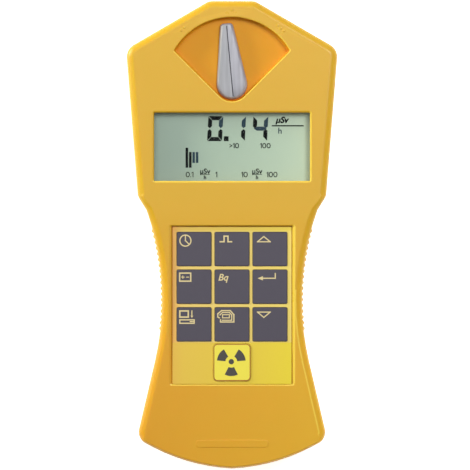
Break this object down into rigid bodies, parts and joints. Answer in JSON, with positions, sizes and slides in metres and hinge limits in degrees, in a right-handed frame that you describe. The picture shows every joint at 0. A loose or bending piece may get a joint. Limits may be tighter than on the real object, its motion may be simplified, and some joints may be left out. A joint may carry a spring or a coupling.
{
  "type": "geiger counter",
  "caption": "Handheld radiation counter: waisted case in two shells, turning radiation selector with shields over an end-window tube, display and membrane-style keys.",
  "frame": {"origin": "centre of the flat rear face, halfway along the case", "axes": "+X across the case, +Y towards the sensor end, +Z out of the display face"},
  "size_m": [0.0734, 0.163, 0.03],
  "materials": {
    "case_plastic": "satin moulded yellow",
    "key_film": "printed light yellow film",
    "key_grey": "dark grey, fine grain",
    "sign_yellow": "bright yellow",
    "lever_grey": "silver grey",
    "lens": "clear",
    "display": "grey-green reflective",
    "white_plastic": "white",
    "black_plastic": "black",
    "rubber": "black",
    "contact_rubber": "pink banded",
    "steel": "plain",
    "aluminium": "plain",
    "brass": "plain",
    "board": "green solder mask",
    "mica": "brownish",
    "ceramic": "white",
    "cell_sleeve": "green sleeve",
    "ferrite": "dark ferrite and copper winding",
    "capacitor": "blue sleeve"
  },
  "bodies": {
    "case": {"front_shell": "case_plastic", "rear_shell": "case_plastic", "window_grille": "black_plastic", "rating_plate": "aluminium", "case_screws": "steel", "shaft_seal": "rubber", "detent_spring": "steel", "display_window": "lens", "display_panel": "display", "display_frame": "white_plastic", "contact_strips": "contact_rubber", "keypad_overlay": "key_film", "snap_domes": "steel", "main_board": "board", "board_screws": "steel", "counter_tube": "steel", "tube_window": "mica", "tube_insulator": "ceramic", "anode_wire": "brass", "anode_cap": "brass", "tube_holder": "black_plastic", "holder_screws": "steel", "lithium_cell": "cell_sleeve", "cell_holder": "black_plastic", "cell_tabs": "steel", "transformer": "ferrite", "high_voltage_capacitors": "capacitor", "microcontroller": "black_plastic", "memory_chip": "black_plastic", "quartz_crystal": "steel", "buzzer": "black_plastic", "data_socket": "steel"},
    "selector": {"selector_lever": "lever_grey", "shield_carrier": "black_plastic", "gamma_shield": "aluminium", "beta_foil": "aluminium", "carrier_screw": "steel"},
    "key_clock": {"key_clock": "key_grey"},
    "key_pulse": {"key_pulse": "key_grey"},
    "key_up": {"key_up": "key_grey"},
    "key_battery": {"key_battery": "key_grey"},
    "key_unit": {"key_unit": "key_grey"},
    "key_enter": {"key_enter": "key_grey"},
    "key_transfer": {"key_transfer": "key_grey"},
    "key_memory": {"key_memory": "key_grey"},
    "key_down": {"key_down": "key_grey"},
    "key_sounder": {"key_sounder": "sign_yellow"}
  },
  "joints": [
    {"name": "selector_turn", "type": "hinge", "parent": "case", "child": "selector", "pos_m": [0, 0.0525, 0.0274], "axis": [0, 0, 1], "range_deg": [-50, 40], "deforming": ["detent_spring"]},
    {"name": "press_clock", "type": "slide", "parent": "case", "child": "key_clock", "axis": [0, 0, -1], "range_m": [0, 0.00035], "deforming": ["snap_domes"]},
    {"name": "press_pulse", "type": "slide", "parent": "case", "child": "key_pulse", "axis": [0, 0, -1], "range_m": [0, 0.00035], "deforming": ["snap_domes"]},
    {"name": "press_up", "type": "slide", "parent": "case", "child": "key_up", "axis": [0, 0, -1], "range_m": [0, 0.00035], "deforming": ["snap_domes"]},
    {"name": "press_battery", "type": "slide", "parent": "case", "child": "key_battery", "axis": [0, 0, -1], "range_m": [0, 0.00035], "deforming": ["snap_domes"]},
    {"name": "press_unit", "type": "slide", "parent": "case", "child": "key_unit", "axis": [0, 0, -1], "range_m": [0, 0.00035], "deforming": ["snap_domes"]},
    {"name": "press_enter", "type": "slide", "parent": "case", "child": "key_enter", "axis": [0, 0, -1], "range_m": [0, 0.00035], "deforming": ["snap_domes"]},
    {"name": "press_transfer", "type": "slide", "parent": "case", "child": "key_transfer", "axis": [0, 0, -1], "range_m": [0, 0.00035], "deforming": ["snap_domes"]},
    {"name": "press_memory", "type": "slide", "parent": "case", "child": "key_memory", "axis": [0, 0, -1], "range_m": [0, 0.00035], "deforming": ["snap_domes"]},
    {"name": "press_down", "type": "slide", "parent": "case", "child": "key_down", "axis": [0, 0, -1], "range_m": [0, 0.00035], "deforming": ["snap_domes"]},
    {"name": "press_sounder", "type": "slide", "parent": "case", "child": "key_sounder", "axis": [0, 0, -1], "range_m": [0, 0.00035], "deforming": ["snap_domes"]}
  ]
}
